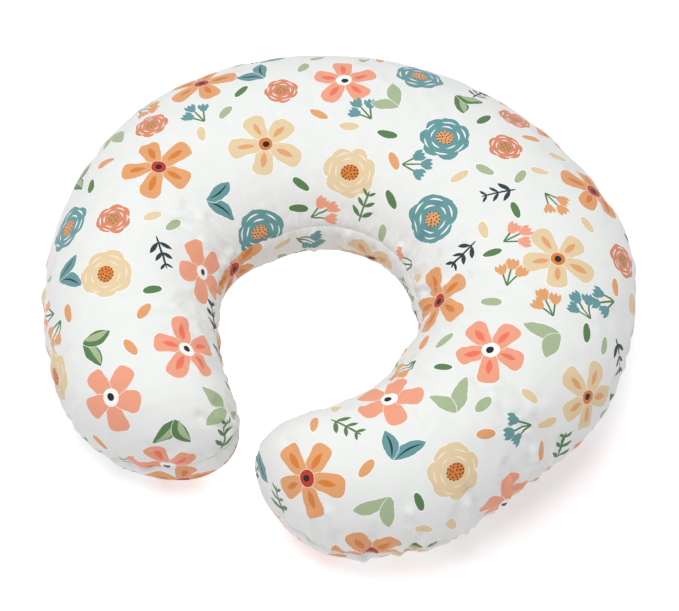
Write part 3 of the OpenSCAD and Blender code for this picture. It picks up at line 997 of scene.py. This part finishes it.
def add_topstitching(panels, material):
    """Two rows of stitches that hold the cover to the zip tapes."""
    points, faces = [], []
    count = int(2 * ZIP_HALF_ANGLE * ZIP_R / STITCH_PITCH)
    for panel, surface in panels:
        normals = grid_normals(surface, panel.outward)
        for k in range(count):
            ends = []
            for part in (0.08, 0.92):
                s = ARC_R[0] * ZIP_HALF_ANGLE * (2 * (k + part) / count - 1)
                row = np.interp(s, panel.along, np.arange(len(panel.along)))
                i, share = int(row), row % 1
                column = int(np.abs(panel.outer_dist[i] - STITCH_INSET).argmin())
                ends.append(surface[i, column] * (1 - share) + surface[i + 1, column] * share)
            extra_points, extra_faces = stitch(ends[0], ends[1], normals[i, column])
            faces += [[c + len(points) for c in face] for face in extra_faces]
            points += extra_points
    piece = mesh_object("zip_topstitches", np.array(points), faces, material)
    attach(piece, "pillow_back")
    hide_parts("zip_topstitching")


def add_filling(side, material):
    """Half of the fibre filling, lumpy like hand-packed fibre."""
    s, cap = stations(60, 14)
    middle = len(s) // 2
    rows = slice(0, middle + 1) if side == "left" else slice(middle, len(s))
    columns = 72
    angle = np.linspace(0, 2 * math.pi, columns + 1)
    points = body_point(s[rows, None], cap[rows, None], angle[None, :], FILL_DEPTH)
    lumps = np.sin(points[..., 0] * 190) * np.sin(points[..., 1] * 170 + 1) * np.sin(points[..., 2] * 210)
    centre = points.mean(axis=1, keepdims=True)
    points = points + unit(centre - points) * (0.9 + 0.9 * lumps[..., None]) * MM
    points[:, -1] = points[:, 0]
    pole = 0 if side == "left" else -1
    points[pole] = points[pole].mean(axis=0)
    flat = points.reshape(-1, 3)
    ids, faces, _ = weld(flat, grid_faces(len(points), columns + 1, -1.0))
    lookup = {tuple(np.round(flat[i], 7)): k for k, i in enumerate(ids)}
    end = points[-1 if side == "left" else 0, :-1]
    ring = [lookup[tuple(np.round(p, 7))] for p in end]
    faces.append(ring if side == "right" else ring[::-1])
    piece = mesh_object(f"fibre_filling_{side}", flat[ids], faces, material)
    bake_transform(piece)
    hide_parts("fill_back", f"fill_{side}_arm")


def dress_cad_nodes(materials):
    """Materials and softened edges for the CAD pieces that are shown as they are."""
    finishes = {
        "zip_tape_upper": "tape", "zip_tape_lower": "tape", "zip_end_tabs": "plain", "zip_top_stops": "metal",
        "zip_bottom_stop": "metal", "zip_slider": "metal", "zip_pull": "metal", "care_label": "label",
        "liner_label": "label", "liner_closing_stitches": "thread",
    }
    for name, finish in finishes.items():
        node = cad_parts[name]
        node.data.materials.clear()
        node.data.materials.append(materials[finish])
        if finish == "metal":
            bevel = node.modifiers.new("soft_edges", "BEVEL")
            bevel.width = 0.22 * MM
            bevel.segments = 3
            bevel.limit_method = "ANGLE"
            bevel.angle_limit = math.radians(35)
            bevel.harden_normals = True


# ---------------------------------------------------------------- studio


def add_camera():
    """The buyer's view: from the right of the mouth, looking down at the ring."""
    azimuth, elevation, distance = math.radians(25.45), math.radians(56.1), 1.509
    target = RING_CENTRE + Vector((0, 0, 0.0627))
    away = Vector((math.cos(elevation) * math.sin(azimuth), -math.cos(elevation) * math.cos(azimuth),
                   math.sin(elevation)))
    data = bpy.data.cameras.new("camera")
    data.lens = 95.3
    data.sensor_width = 36
    data.shift_x = 0.0233
    data.shift_y = 0.006
    camera = bpy.data.objects.new("camera", data)
    camera.location = target + away * distance
    camera.rotation_euler = away.to_track_quat("Z", "Y").to_euler()
    bpy.context.scene.collection.objects.link(camera)
    bpy.context.scene.camera = camera


def add_area_light(name, place, size, power, colour=(1, 1, 1)):
    data = bpy.data.lights.new(name, "AREA")
    data.shape = "DISK"
    data.size = size
    data.energy = power
    data.color = colour
    light = bpy.data.objects.new(name, data)
    light.location = place
    light.rotation_euler = (RING_CENTRE - Vector(place)).to_track_quat("-Z", "Y").to_euler()
    bpy.context.scene.collection.objects.link(light)


def add_ramp(tree, distance, reach, values):
    """A value that eases from one number to another over a stretch of distances."""
    inputs = {0: distance.outputs["Value"], 1: reach[0], 2: reach[1], 3: values[0], 4: values[1]}
    return add_node(tree, "ShaderNodeMapRange", inputs, interpolation_type="SMOOTHSTEP").outputs[0]


def floor_material():
    """White floor that glows to the camera so that only its shadows show: most inside the ring, as painted
    light over the shade that falls there, and less at one painted shadow.
    """
    material, tree, shader = new_material("floor", "F4F1F4", 0.9, Specular_IOR_Level=0.1)
    shader.inputs["Emission Color"].default_value = (1, 1, 1, 1)
    seen = add_node(tree, "ShaderNodeLightPath").outputs["Is Camera Ray"]
    place = add_node(tree, "ShaderNodeTexCoord").outputs["Object"]
    offset = add_node(tree, "ShaderNodeVectorMath", {0: place, 1: RING_CENTRE}, operation="DISTANCE")
    beside = add_node(tree, "ShaderNodeVectorMath", {0: place, 1: PAINTED_SHADOW_PLACE}, operation="DISTANCE")
    # painted light: the glow is strongest inside the ring, over the shade that falls there
    glow = add_ramp(tree, offset, (0.10, 0.19), (0.95, 0.31))
    glow = math_node(tree, "ADD", glow, add_ramp(tree, offset, (0.5, 1.6), (0.0, 0.6)))
    # painted shadow: the floor's glow dims towards one place beside the right arm
    glow = math_node(tree, "ADD", glow, add_ramp(tree, beside, (0.02, 0.15), (-0.19, 0.0)))
    strength = math_node(tree, "MULTIPLY_ADD", seen, glow, FLOOR_GLOW)
    tree.links.new(strength, shader.inputs["Emission Strength"])
    return material


def add_studio():
    scene = bpy.context.scene
    scene.view_settings.view_transform = "Standard"
    world = bpy.data.worlds.new("studio")
    scene.world = world
    world.use_nodes = True
    tree = world.node_tree
    seen = add_node(tree, "ShaderNodeLightPath").outputs["Is Camera Ray"]
    background = tree.nodes["Background"]
    background.inputs["Color"].default_value = (1, 1, 1, 1)
    tree.links.new(math_node(tree, "MULTIPLY_ADD", seen, 1 - WORLD_LIGHT, WORLD_LIGHT),
                   background.inputs["Strength"])
    turns = ((-1, -1), (1, -1), (1, 1), (-1, 1))
    corners = np.array([(x * FLOOR_HALF, y * FLOOR_HALF, -FLOOR_DROP) for x, y in turns])
    mesh_object("floor", corners, [[0, 1, 2, 3]], floor_material())
    add_area_light("key", (-0.20, -0.30, 1.9), 1.2, 20)


# ---------------------------------------------------------------- assembly


def build():
    add_camera()
    materials = {
        "cover": cover_material(),
        "plain": fabric_material("plain_cover", PAINTS["ground"], 0.0006, 0.25),
        "liner": fabric_material("liner_fabric", "F2F0EA", 0.0009, 0.4, "fabric"),
        "tape": fabric_material("zip_tape", "ECECEA", 0.0008, 0.6),
        "label": fabric_material("label_satin", "F7F7F5", 0.0003, 0.2),
        "fibre": fibre_material(),
        "metal": metal_material(),
        "teeth": teeth_material(),
        "thread": thread_material(),
    }
    zip_panels = []
    swelling = puckers()
    for is_top, label, pucker in ((True, "top", swelling[0]), (False, "bottom", swelling[1])):
        panel = Panel(is_top, 0.0, True, BODY_ROWS, TIP_ROWS, COLUMNS)
        prints = Prints(panel)
        for motifs in (LARGE_MOTIFS, MIDDLE_MOTIFS, SMALL_MOTIFS):
            scatter(prints, motifs, 0 if is_top else BOTTOM_PRINT_START)
        relief = seam_relief(panel) + fold_relief(panel, TOP_GATHERS if is_top else BOTTOM_GATHERS)
        relief = relief + pucker * clear_of_zip(panel)
        relief = np.clip(relief, -DEEPEST, HIGHEST)
        surface = panel.points + panel.normals * relief[..., None]
        add_panel_halves(f"cover_{label}", panel, surface, materials["cover"], [f"cover_{label}_panel"],
                         prints.layers)
        zip_panels.append((panel, surface))
        inner = Panel(is_top, LINER_DEPTH, False, 110, 16, 60)
        inner_surface = inner.points + inner.normals * seam_relief(inner)[..., None] * 0.5
        add_panel_halves(f"liner_{label}", inner, inner_surface, materials["liner"], [f"liner_{label}_panel"])
    for side in ("left", "right"):
        add_filling(side, materials["fibre"])
    add_coil("zip_coil_upper_teeth", 1, materials["teeth"])
    add_coil("zip_coil_lower_teeth", -1, materials["teeth"])
    add_topstitching(zip_panels, materials["thread"])
    dress_cad_nodes(materials)
    add_studio()


build()
